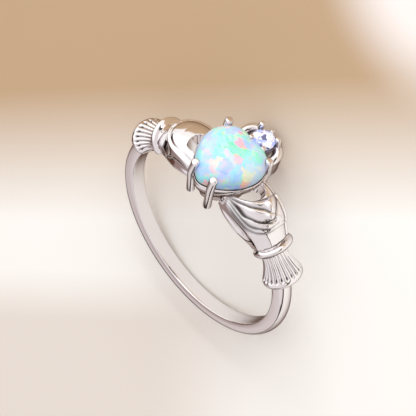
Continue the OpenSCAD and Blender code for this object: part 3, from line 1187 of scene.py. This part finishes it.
@dataclass
class Cuff(Piece):
    """A cuff: a smooth roll at the wrist, a fluted neck and a smooth flare over the band.

    The table's columns are the share of the way from the wrist, the half width in shares of the
    roll's, the middle's and the crest's height in shares of the roll's, and the flutes' depth.
    """

    side: Side
    roll_w: float = 3.6
    roll_h: float = 2.5
    reach: float = 115.0
    flutes: int = 20
    flute_depth: float = 0.17
    drop_depth: float = 0.12
    drop_at: float = 0.745
    drop_length: float = 0.028
    # painted shade: how dark the bottoms of the flutes' grooves and their drops are
    flute_dark: float = 0.4
    drop_dark: float = 1.1
    foot_share: float = 0.8
    rows: int = 150
    columns: int = 300
    foot_columns: int = 12
    table: Rows = (
        (0.00, 0.86, 0.29, 0.52, 0.0),
        (0.04, 0.97, 0.31, 0.63, 0.0),
        (0.09, 1.00, 0.32, 0.68, 0.0),
        (0.14, 0.97, 0.31, 0.64, 0.0),
        (0.19, 0.86, 0.29, 0.53, 0.0),
        (0.22, 0.71, 0.27, 0.37, 0.0),
        (0.28, 0.67, 0.27, 0.32, 0.3),
        (0.42, 0.69, 0.28, 0.34, 0.6),
        (0.55, 0.76, 0.31, 0.40, 0.9),
        (0.67, 0.87, 0.34, 0.48, 1.0),
        (0.76, 0.97, 0.35, 0.55, 0.8),
        (0.80, 1.02, 0.35, 0.59, 0.1),
        (0.86, 1.02, 0.35, 0.60, 0.0),
        (0.92, 0.94, 0.35, 0.53, 0.0),
        (0.97, 0.72, 0.33, 0.36, 0.0),
        (1.00, 0.42, 0.30, 0.20, 0.0),
    )

    def build(self) -> None:
        """Sweeps the cuff's sections round the finger."""
        s = self.sizes
        shares = np.linspace(0, 1, self.rows)
        wide, mid, high, cut = smooth_rows(self.table, shares).T[:, :, None]
        shares = shares[:, None]
        half = self.roll_w / 2 * wide
        mid, high = s.bore_r + self.roll_h * mid, self.roll_h * high
        t = np.linspace(self.reach, -self.reach, self.columns)[None]
        # round ribs between sharp grooves, each groove ending in a small drop at the flare
        groove = 1 - np.abs(np.sin(np.radians(t * self.flutes / 2))) ** 0.6
        drop = bell(shares - self.drop_at, self.drop_length) * groove**1.5
        depth = (self.flute_depth * np.clip(cut, 0, 1) * groove + self.drop_depth * drop) / high
        y = half * (1 - depth) * np.sin(np.radians(t))
        r = np.maximum(mid + high * (1 - depth) * np.cos(np.radians(t)), s.bore_r)
        # painted shade in the bottoms of the grooves and in the drops
        dark = np.clip(self.flute_dark * np.clip(cut, 0, 1) * groove**3 + self.drop_dark * drop, 0, 1)
        foot = np.linspace(-self.foot_share, self.foot_share, self.foot_columns)[None] * half
        y = np.concatenate([y, foot], axis=1)
        r = np.concatenate([r, np.full(foot.shape, s.bore_r)], axis=1)
        dark = np.concatenate([dark, np.zeros(foot.shape)], axis=1)
        turn = np.radians(s.hand_end + s.sleeve_gap + s.sleeve_span * shares)
        rings = bend(r, y, turn, self.side.value)
        self.settle(self.bench.skin("cuff_" + self.side.word, rings, recess=dark), 70)


@dataclass
class HeartSetting(Piece):
    """The heart's collet, open below the stone, with two prongs at the point and two at the lobes."""

    wall: float = 0.42
    foot_share: float = 0.66
    # how far the collet's foot stands off the finger bore
    foot_gap: float = 0.01
    prong_d: float = 0.72
    prong_rise: float = 0.85
    # a prong's middle lies this share of its diameter outside the heart's outline
    prong_out: float = 0.22
    prongs: tuple[tuple[str, float], ...] = (("point", -67.0), ("lobe", 44.0))

    def profile(self) -> list[tuple[float, float, float | None]]:
        """Lists the corners of the collet's wall: up its outside, over the rim and down its inside.

        Returns:
            Share of the heart's outline, distance outside it and height, which is None on the bore.
        """
        s = self.sizes
        foot, over = self.foot_share, s.rim_over
        low = s.girdle_z - s.heart_back - over
        top = low + 0.8 * s.heart_back
        return [
            (foot, 0.0, None),
            (foot + 0.02, 0.0, s.bore_r + 0.5),
            (foot + 0.1, 0.0, s.bore_r + 1.0),
            (0.86, 0.0, low - 0.95),
            (0.94, 0.0, low - 0.6),
            (0.97, 0.02, low - 0.2),
            (0.98, 0.04, low - 0.05),
            (1.0, over * 0.85, low + 0.06),
            (1.0, over, low + 0.15),
            (1.0, over, top - 0.1),
            (1.0, over * 0.7, top - 0.02),
            (1.0, 0.045, top),
            (1.0, 0.03, top - 0.05),
            (0.9, 0.0, low + 0.1),
            (foot, -0.2, low - 0.2),
            (foot, -self.wall, s.bore_r + 1.1),
            (foot, -self.wall, None),
        ]

    def collet(self) -> bpy.types.Object:
        """Sweeps the collet's wall round the heart.

        Returns:
            The collet.
        """
        s = self.sizes
        angles = np.linspace(-180, 180, s.heart_points, endpoint=False)
        outline = s.heart(angles)
        rings = []
        for share, out, height in self.profile():
            ring = level(outline * share + out, angles, -s.head_shift, height or 0.0)
            if height is None:
                ring[:, 2] = np.sqrt(s.bore_r**2 - ring[:, 0] ** 2) + self.foot_gap
            rings.append(ring)
        obj = self.bench.skin("heart_collet", rings, looped=True)
        self.bench.blunt(obj, 0.05, 2, 50)
        return obj

    def prong(self, word: str, angle: float, side: Side) -> bpy.types.Object:
        """Draws one prong from the collet's foot to its domed tip over the stone.

        Args:
            word: the part of the heart that it holds.
            angle: direction from the middle of the heart, in degrees.
            side: half of the heart.

        Returns:
            The prong.
        """
        s = self.sizes
        r = float(s.heart(np.array([angle]))[0]) + self.prong_out * self.prong_d
        lean = self.prong_d / 6
        x, y = side.value * math.cos(math.radians(angle)), math.sin(math.radians(angle))
        foot = (0.9 * r * x, 0.85 * r * y - s.head_shift, s.bore_r + 0.1)
        knee = (r * x, r * y - s.head_shift, s.girdle_z - 0.4 * s.heart_back)
        tip = ((r - lean) * x, (r - lean) * y - s.head_shift, s.girdle_z + self.prong_rise + 0.3)
        return self.bench.bar(f"heart_prong_{side.word}_{word}", (foot, knee, tip), self.prong_d / 2)

    def build(self) -> None:
        """Builds the collet and its four prongs."""
        made = [self.collet()]
        made += [self.prong(word, angle, side) for word, angle in self.prongs for side in Side]
        for obj in made:
            self.settle(obj, 50)


@dataclass
class HeartStone(Piece):
    """The heart-shaped opal: flat underside, narrow girdle and one soft dome."""

    node: ClassVar[str] = "heart_opal"
    slot: ClassVar[Slot] = Slot.OPAL

    dome_rows: int = 44
    # share of the outline and depth in shares of the back, from the underside up
    under: Line = ((0.8, -1.0), (0.87, -0.9), (0.93, -0.6), (0.98, -0.3), (1.0, -0.15))

    def build(self) -> None:
        """Sweeps the dome from the underside to its crown."""
        s = self.sizes
        angles = np.linspace(-180, 180, s.heart_points, endpoint=False)
        outline = s.heart(angles)
        even = float(outline.mean())
        tilts = np.radians(np.linspace(0, 88.5, self.dome_rows))
        dome = [(math.cos(t) ** 0.9, s.heart_dome * math.sin(t)) for t in tilts]
        rings = []
        for share, rise in [(share, depth * s.heart_back) for share, depth in self.under] + dome:
            # the cleft fades out towards the top of the dome
            fade = 0.75 * max(rise / s.heart_dome, 0) ** 1.6
            r = (outline + (even - outline) * fade) * share
            rings.append(level(r, angles, -s.head_shift, s.girdle_z + rise))
        self.settle(self.bench.skin("heart_opal_cabochon", rings), 60)


@dataclass
class RoundStone(Piece):
    """The crown's round brilliant."""

    node: ClassVar[str] = "crown_stone"
    slot: ClassVar[Slot] = Slot.CRYSTAL

    # distance from the axis and height above the girdle, in shares of the stone's radius, number of
    # points and turn of the first one, from the table down to the culet
    facets: Rows = (
        (0.57, 0.31, 8, 22.5),
        (0.80, 0.2, 8, 0.0),
        (0.985, 0.03, 16, 11.25),
        (0.985, -0.03, 16, 11.25),
        (0.42, -0.55, 8, 0.0),
        (0.03, -0.84, 8, 22.5),
    )

    def build(self) -> None:
        """Wraps the facets round the brilliant's levels."""
        s = self.sizes
        r = s.round_d / 2
        points = np.concatenate(
            [
                level(r * share, turn + 360 * np.arange(count) / count, s.crown_reach, s.round_z + r * rise)
                for share, rise, count, turn in self.facets
            ]
        )
        self.bench.clear()
        bpy.ops.mesh.primitive_circle_add(vertices=len(points), radius=1)
        obj = named("crown_brilliant")
        put(obj, points)
        with self.bench.editing():
            bpy.ops.mesh.convex_hull()
        self.settle(obj, 1)


@dataclass
class StoneCup(Piece):
    """The cup with the round stone's seat, in the middle of the crown."""

    steps: int = 64

    def build(self) -> None:
        """Turns the cup."""
        s = self.sizes
        r, z, floor = s.round_d / 2, s.round_z, s.crown_floor
        profile = [
            (0.36 * r, floor),
            (0.62 * r, floor),
            (0.72 * r, floor + 0.15 * r),
            (r + s.rim_over, z - 0.33 * r),
            (r + s.rim_over, z - 0.14 * r),
            (r + 0.07, z - 0.11 * r),
            (r + 0.03, z - 0.12 * r),
            (0.36 * r, z - 0.62 * r),
        ]
        angles = np.linspace(0, 360, self.steps, endpoint=False)
        rings = [level(out, angles, s.crown_reach, height) for out, height in profile]
        self.settle(self.bench.skin("crown_cup", rings, looped=True), 40)


@dataclass
class Crown(Piece):
    """The crown's five prongs, two curled ears, a tie to the heart and two struts."""

    prong_d: float = 0.54
    ear_span: float = 3.5
    ear_t: float = 0.8
    ear_shoulder: float = 0.45
    ear_steps: int = 40
    feet_span: float = 2.4
    feet_out: float = 0.9
    # a foot is this much wider than its prong
    foot_swell: float = 1.13
    tie_d: float = 0.9
    strut_d: float = 0.64
    # the right ear's centreline, in shares of half the span, of the feet's reach and of the crown's lift
    curl: Rows = (
        (0.90, -1.40, 0.70),
        (1.00, -0.60, 0.76),
        (1.00, 0.00, 0.80),
        (0.88, 0.48, 0.82),
        (0.64, 0.80, 0.82),
    )

    def by_stone(self, across: float, along: float, up: float) -> tuple[float, float, float]:
        """A point by its shares of the round stone's radius, from the middle of its girdle."""
        r = self.sizes.round_d / 2
        return (r * across, self.sizes.crown_reach + r * along, self.sizes.round_z + r * up)

    def curl_at(self, share: float) -> np.ndarray:
        """Finds a point on the centreline of the right ear.

        Args:
            share: its share of the way from the heart's side to the curl's end.

        Returns:
            The point.
        """
        s = self.sizes
        across, along, up = smooth_curve(self.curl, 101)[int(round(100 * share))]
        x, y = self.ear_span / 2 * across, s.crown_reach + self.feet_out * along
        return np.array([x, y, s.bore_r + s.crown_lift * up])

    def foot(self, side: Side, place: Sequence[float]) -> bpy.types.Object:
        """Rounds off the end of a back prong, on which the ring rests.

        Args:
            side: half of the crown.
            place: the foot's middle.

        Returns:
            The foot.
        """
        self.bench.clear()
        radius = self.prong_d / 2 * self.foot_swell
        bpy.ops.mesh.primitive_uv_sphere_add(segments=24, ring_count=14, radius=radius, location=place)
        bpy.ops.object.transform_apply(location=True, rotation=True, scale=True)
        return named("crown_foot_" + side.word)

    def prongs(self) -> list[bpy.types.Object]:
        """Draws the five prongs; two of those at the back end in the feet that the ring rests on.

        Returns:
            The prongs.
        """
        s = self.sizes
        r = self.prong_d / 2
        made = []
        for side in Side:
            x = side.value
            foot = (x * self.feet_span / 2, s.crown_reach + self.feet_out, s.bore_r + r)
            rear = (foot, self.by_stone(1.1 * x, 0.7, -0.24), self.by_stone(0.92 * x, 0.63, 0.72))
            start = (x * 0.62 * s.round_d / 2, s.crown_reach - 0.3 * s.round_d, s.crown_floor)
            near = (start, self.by_stone(0.7 * x, -0.69, 0.35))
            made.append(self.bench.bar("crown_prong_back_" + side.word, rear, r))
            made.append(self.foot(side, foot))
            made.append(self.bench.bar("crown_prong_near_" + side.word, near, 0.9 * r))
        start = (0, s.crown_reach + 0.24 * s.round_d, s.bore_r + 0.2 * s.crown_lift)
        made.append(self.bench.bar("crown_prong_back", (start, self.by_stone(0, 0.95, 0.5)), 0.85 * r))
        return made

    def ear(self, side: Side) -> bpy.types.Object:
        """Sweeps one ear along its curl.

        Args:
            side: half of the crown.

        Returns:
            The ear.
        """
        floor = self.sizes.crown_floor
        # a wall on each side, with a round top between them
        turn = np.radians(np.linspace(-20, 200, 25))
        out = np.concatenate([[0.42, 0.46], 0.5 * np.cos(turn), [-0.46, -0.42]]) * self.ear_t
        rings = []
        for share in np.arange(self.ear_steps + 1) / self.ear_steps:
            p = self.curl_at(share)
            step = self.curl_at(min(share + 0.03, 1)) - self.curl_at(max(share - 0.03, 0))
            n = np.array([-step[1], step[0]]) / math.hypot(step[0], step[1])
            wall, top = p[2] - self.ear_shoulder, p[2] + 0.5 * self.ear_t * np.sin(turn)
            up = np.concatenate([[floor, wall], top, [wall, floor]])
            rings.append(np.stack([side.value * (p[0] + n[0] * out), p[1] + n[1] * out, up], axis=1))
        obj = self.bench.skin("crown_ear_" + side.word, rings)
        self.bench.blunt(obj, 0.12, 4, 60)
        return obj

    def ties(self) -> list[bpy.types.Object]:
        """Draws the bar to the heart's setting and the struts from the ears to the hands.

        Returns:
            The bars.
        """
        s = self.sizes
        z = s.bore_r + 0.3 * s.crown_lift
        made = [self.bench.bar("crown_tie", ((0, 0.3 * s.heart_w, z), (0, s.crown_reach, z)), self.tie_d / 2)]
        x, y, z = self.curl_at(0.15)
        for side in Side:
            hand = (side.value * 0.54 * s.hand_w, 0.4 * s.hand_w, s.bore_r + 0.57 * s.hand_h)
            path = (hand, (side.value * x, y, z - 0.1))
            made.append(self.bench.bar("crown_strut_" + side.word, path, self.strut_d / 2))
        return made

    def build(self) -> None:
        """Builds the prongs, the ears and the bars."""
        for obj in [*self.prongs(), *(self.ear(side) for side in Side), *self.ties()]:
            self.settle(obj, 50)


# columns as in the part's source: share of the way to the wrist, half width at the finger, rim towards
# the heart's point, rim towards the crown, height of each rim, height of the crest
SMOOTH_BACK: Rows = (
    (0.00, 0.84, 0.92, 0.83, 0.27, 0.51, 0.85),
    (0.16, 0.95, 0.98, 0.90, 0.32, 0.58, 0.93),
    (0.31, 0.99, 0.98, 0.94, 0.44, 0.62, 0.98),
    (0.47, 0.98, 0.96, 0.95, 0.54, 0.66, 1.00),
    (0.59, 0.93, 0.92, 0.92, 0.57, 0.68, 1.00),
    (0.69, 0.86, 0.86, 0.89, 0.58, 0.67, 0.98),
    (0.77, 0.80, 0.79, 0.83, 0.58, 0.65, 0.95),
    (0.87, 0.71, 0.69, 0.71, 0.56, 0.60, 0.88),
    (1.00, 0.62, 0.60, 0.60, 0.50, 0.50, 0.78),
)
FOLDED_BACK: Rows = (
    (0.00, 0.84, 0.92, 0.83, 0.27, 0.51, 0.85),
    (0.16, 0.95, 0.98, 0.90, 0.32, 0.58, 0.93),
    (0.31, 0.99, 0.98, 0.94, 0.40, 0.62, 0.98),
    (0.47, 0.98, 0.95, 0.95, 0.46, 0.64, 1.00),
    (0.59, 0.93, 0.90, 0.92, 0.48, 0.64, 0.99),
    (0.69, 0.86, 0.85, 0.89, 0.48, 0.62, 0.96),
    (0.77, 0.80, 0.80, 0.85, 0.46, 0.60, 0.91),
    (0.87, 0.72, 0.74, 0.78, 0.42, 0.56, 0.84),
    (1.00, 0.64, 0.70, 0.70, 0.36, 0.50, 0.78),
)
# the lines below hold angles from the top of the ring in degrees and places along the finger in mm
FOLDED_DRAPE = Drape(
    lines=(
        ((9.0, -1.45), (12.0, -1.42), (15.5, -1.15), (18.5, -0.7), (20.2, -0.1), (21.2, 0.5), (21.6, 1.2)),
        (
            *((9.0, -1.62), (13.0, -1.62), (16.5, -1.45), (20.0, -1.12)),
            *((22.3, -0.7), (24.4, -0.25), (26.2, -0.05), (27.0, 0.1)),
        ),
        (
            *((9.0, -1.76), (14.0, -1.76), (18.8, -1.74), (21.7, -1.72), (23.9, -1.58)),
            *((27.1, -1.22), (28.9, -0.84), (29.8, -0.5), (30.2, -0.1)),
        ),
        (
            *((9.0, -1.88), (14.0, -1.9), (18.8, -1.95), (23.0, -1.92), (26.7, -1.78)),
            *((29.6, -1.46), (31.4, -1.08), (32.6, -0.7), (32.9, 0.0)),
        ),
        (
            *((9.0, -2.0), (14.0, -2.04), (18.4, -2.12), (23.0, -2.1), (27.3, -1.98)),
            *((30.4, -1.72), (32.7, -1.32), (34.0, -0.8), (34.4, 0.0)),
        ),
    ),
    heights=(0.26, 0.3, 0.22, 0.14),
    darks=(0.3, 0.8, 0.9, 0.8, 0.6),
)
DEEP_FOLD: Line = (
    *((14.0, -1.66), (18.8, -1.75), (21.7, -1.74), (23.9, -1.6)),
    *((27.1, -1.23), (28.9, -0.85), (29.8, -0.55)),
)
FOLDED_MARKS = (
    FOLDED_DRAPE,
    Mark(DEEP_FOLD, -0.1, 0.14),
    Mark(((30.5, -1.55), (34.0, -1.2), (37.5, -1.0), (41.5, -0.95)), 0.14, 0.36, sharp=False),
    Mark(((32.5, -0.6), (35.0, -0.42), (38.0, -0.3), (41.5, -0.25)), 0.07, 0.34, sharp=False),
    Mark(((28.2, -0.62), (29.4, -0.55), (30.6, -0.35), (31.0, 0.0)), -0.14, 0.12, dark=0.9),
    Mark(((14.0, 1.6), (20.0, 1.33), (24.9, 0.42), (28.4, -0.12), (29.6, -0.3)), 0.26, 0.5, sharp=False),
    Mark(((20.6, 2.0), (25.0, 1.25), (27.5, 0.78), (29.8, 0.3), (31.0, -0.1)), -0.16, 0.16, dark=0.4),
)
SMOOTH_MARKS = (
    Mark(((25.7, 0.62), (26.3, 0.0), (25.6, -0.84), (23.9, -1.30), (21.2, -1.62), (17.0, -1.75)), -0.05, 0.2),
)
# edge of the smooth hand's palm, from the crown side round its end to the point side
PALM: Line = (
    *((5.0, 2.3), (18.0, 2.25), (26.0, 2.1), (30.5, 1.85), (33.6, 1.35), (35.0, 0.6), (35.2, 0.0)),
    *((34.9, -0.6), (33.4, -1.2), (30.6, -1.75), (26.0, -2.15), (18.0, -2.4), (5.0, -2.45)),
)
FOLDED_HOLE: Line = (
    *((2.0, -1.5), (8.0, -1.5), (12.0, -1.45), (15.5, -1.2), (18.5, -0.78), (19.9, -0.2)),
    *((20.3, 0.3), (19.7, 0.75), (18.0, 0.98), (15.0, 1.02), (8.0, 1.02), (2.0, 1.02)),
)
SMOOTH_HOLE: Line = (
    *((2.0, -1.4), (8.0, -1.4), (12.0, -1.35), (15.5, -1.3), (18.5, -1.3), (20.1, -1.15)),
    *((20.9, -0.65), (20.6, -0.1), (19.0, 0.35), (16.5, 0.5), (8.0, 0.55), (2.0, 0.55)),
)


@dataclass(frozen=True)
class Card:
    """A sheet that stands round the ring and shows in the metal.

    Fields: name, bearing from +X and height above the table of its middle, its half size and its
    soft edge, all in degrees, its colour, and how fully it hides the tent.
    """

    name: str
    bearing: float
    height: float
    half: float
    edge: float
    colour: str
    cover: float


@dataclass(frozen=True)
class Studio:
    """Paper sweep, soft light and the camera at the photograph's angle.

    The tent's colours run from the table's level (0) up to the zenith (1). Angles are in degrees, the
    camera's places in mm, and the lamp's distance and size and the sheet's width in metres.
    """

    floor_z: float
    place_mm: tuple[float, float, float] = (-74.343, -184.504, 161.680)
    aim_mm: tuple[float, float, float] = (1.4085, -1.3491, -0.8637)
    roll: float = 119.0075
    lens: float = 261.097
    sheet: float = 1.2
    tent: Stops = ((0.0, "1E1310"), (0.09, "2A1C17"), (0.17, "D6CCCA"), (0.5, "D0C9CA"), (1.0, "D8D4D6"))
    tent_strength: float = 1.23
    cards: tuple[Card, ...] = (
        Card("white_window", -45, 30, 38, 24, "FFFFFF", 1.0),
        Card("black_flag", 30, 4, 20, 12, "140D0B", 0.95),
        Card("brown_flag", 46, 32, 18, 14, "6A4436", 0.75),
        Card("grey_flag", 78, 44, 8, 12, "8A7C78", 0.6),
        Card("black_card_right", -138, 5, 9, 7, "1A110E", 0.9),
        Card("black_card_low", 118, 4, 10, 7, "1A110E", 0.8),
    )
    lamp_bearing: float = -82.0
    lamp_height: float = 16.0
    lamp_away: float = 0.5
    lamp_size: tuple[float, float] = (0.45, 0.09)
    lamp_power: float = 2.6
    lamp_colour: tuple[float, float, float] = (0.9, 0.97, 1.0)

    def camera(self) -> None:
        """Sets up the camera."""
        data = bpy.data.cameras.new("camera")
        data.lens, data.sensor_width, data.sensor_fit = self.lens, 36, "HORIZONTAL"
        data.clip_start, data.clip_end = 0.01, 10
        camera = bpy.data.objects.new("camera", data)
        bpy.context.scene.collection.objects.link(camera)
        place, aim = Vector(self.place_mm) * MM, Vector(self.aim_mm) * MM
        ahead = (aim - place).normalized()
        up = (Vector((0, 0, 1)) - ahead * ahead.z).normalized()
        turn = math.radians(self.roll)
        top = up * math.cos(turn) + ahead.cross(up) * math.sin(turn)
        axes = Matrix((ahead.cross(top), top, -ahead)).transposed()
        camera.matrix_world = Matrix.Translation(place) @ axes.to_4x4()
        bpy.context.scene.camera = camera

    def floor(self, paper: bpy.types.Material) -> None:
        """Lays the paper sweep under the ring.

        Args:
            paper: its finish.
        """
        bpy.ops.object.select_all(action="DESELECT")
        place = (0, 0, self.floor_z)
        bpy.ops.mesh.primitive_grid_add(x_subdivisions=8, y_subdivisions=8, size=self.sheet, location=place)
        bpy.ops.object.transform_apply(location=True, rotation=True, scale=True)
        sheet = named("paper_sweep")
        sheet.data.materials.append(paper)
        sheet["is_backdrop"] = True

    def lights(self) -> None:
        """Sets a long, low soft box, which lights the paper and isn't mirrored in the metal."""
        data = bpy.data.lights.new("soft_box", "AREA")
        data.energy, data.shape = self.lamp_power, "RECTANGLE"
        data.size, data.size_y = self.lamp_size
        data.color = self.lamp_colour
        lamp = bpy.data.objects.new(data.name, data)
        bpy.context.scene.collection.objects.link(lamp)
        lamp.location = outward(self.lamp_bearing, self.lamp_height) * self.lamp_away
        lamp.rotation_euler = (-lamp.location).to_track_quat("-Z", "Y").to_euler()
        lamp.visible_glossy = False

    def world(self) -> None:
        """Surrounds the ring with a pale tent, open in a dark gap along the table, and sets up the cards."""
        world = bpy.data.worlds.new("studio")
        bpy.context.scene.world = world
        world.use_nodes = True
        tree = world.node_tree
        way = add_node(tree, "ShaderNodeTexCoord").outputs["Generated"]
        parts = add_node(tree, "ShaderNodeSeparateXYZ", {"Vector": way})
        tent = ramp(add_node(tree, "ShaderNodeValToRGB", {"Fac": parts.outputs["Z"]}), self.tent)
        colour = tent.outputs["Color"]
        for card in self.cards:
            middle = outward(card.bearing, card.height)
            toward = add_node(tree, "ShaderNodeVectorMath", {0: way, 1: middle}, operation="DOT_PRODUCT")
            reach = {
                "Value": toward.outputs["Value"],
                "From Min": math.cos(math.radians(card.half + card.edge)),
                "From Max": math.cos(math.radians(card.half)),
                "To Max": card.cover,
            }
            cover = add_node(tree, "ShaderNodeMapRange", reach, interpolation_type="SMOOTHSTEP")
            mix = {"Factor": cover.outputs["Result"], MIX_A: colour, MIX_B: linear(card.colour)}
            colour = add_node(tree, "ShaderNodeMix", mix, data_type="RGBA", label=card.name).outputs[MIX_OUT]
        feed(tree, tree.nodes["Background"], {"Color": colour, "Strength": self.tent_strength})

    def build(self) -> None:
        """Sets up floor, light and camera."""
        self.floor(CreamPaper().material())
        self.lights()
        self.world()
        self.camera()
        bpy.context.scene.view_settings.view_transform = "Standard"


def main() -> None:
    """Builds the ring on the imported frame."""
    logging.basicConfig(level=logging.INFO, format="%(name)s %(message)s")
    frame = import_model()
    cad_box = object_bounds()
    mount = frame["record"]["mounts"][0]
    tilt = math.atan2(mount["axis"][1], mount["axis"][2])
    lie = Matrix.Rotation(math.pi, 4, "Z") @ Matrix.Rotation(tilt - math.pi / 2, 4, "X")
    bench = Bench(to_frame=Matrix.Scale(MM, 4) @ lie)
    sizes = Sizes(bore_r=mount["dims"]["r_mm"])
    silver = RhodiumSilver().material()
    Studio(floor_z=cad_box[0][2]).build()
    cast = (bench, sizes, silver)
    pieces: list[Piece] = [
        Band(*cast),
        Hand(*cast, "hand_folded", Side.RIGHT, FOLDED_BACK, FOLDED_MARKS, FOLDED_HOLE),
        Hand(*cast, "hand_smooth", Side.LEFT, SMOOTH_BACK, SMOOTH_MARKS, SMOOTH_HOLE, PALM),
        *(Cuff(*cast, side) for side in Side),
        HeartSetting(*cast),
        HeartStone(bench, sizes, PrecipitatedOpal().material()),
        Crown(*cast),
        StoneCup(bench, sizes, SeatShade().material()),
        RoundStone(bench, sizes, CubicZirconia().material()),
    ]
    for piece in pieces:
        piece.build()


if __name__ == "__main__":
    main()
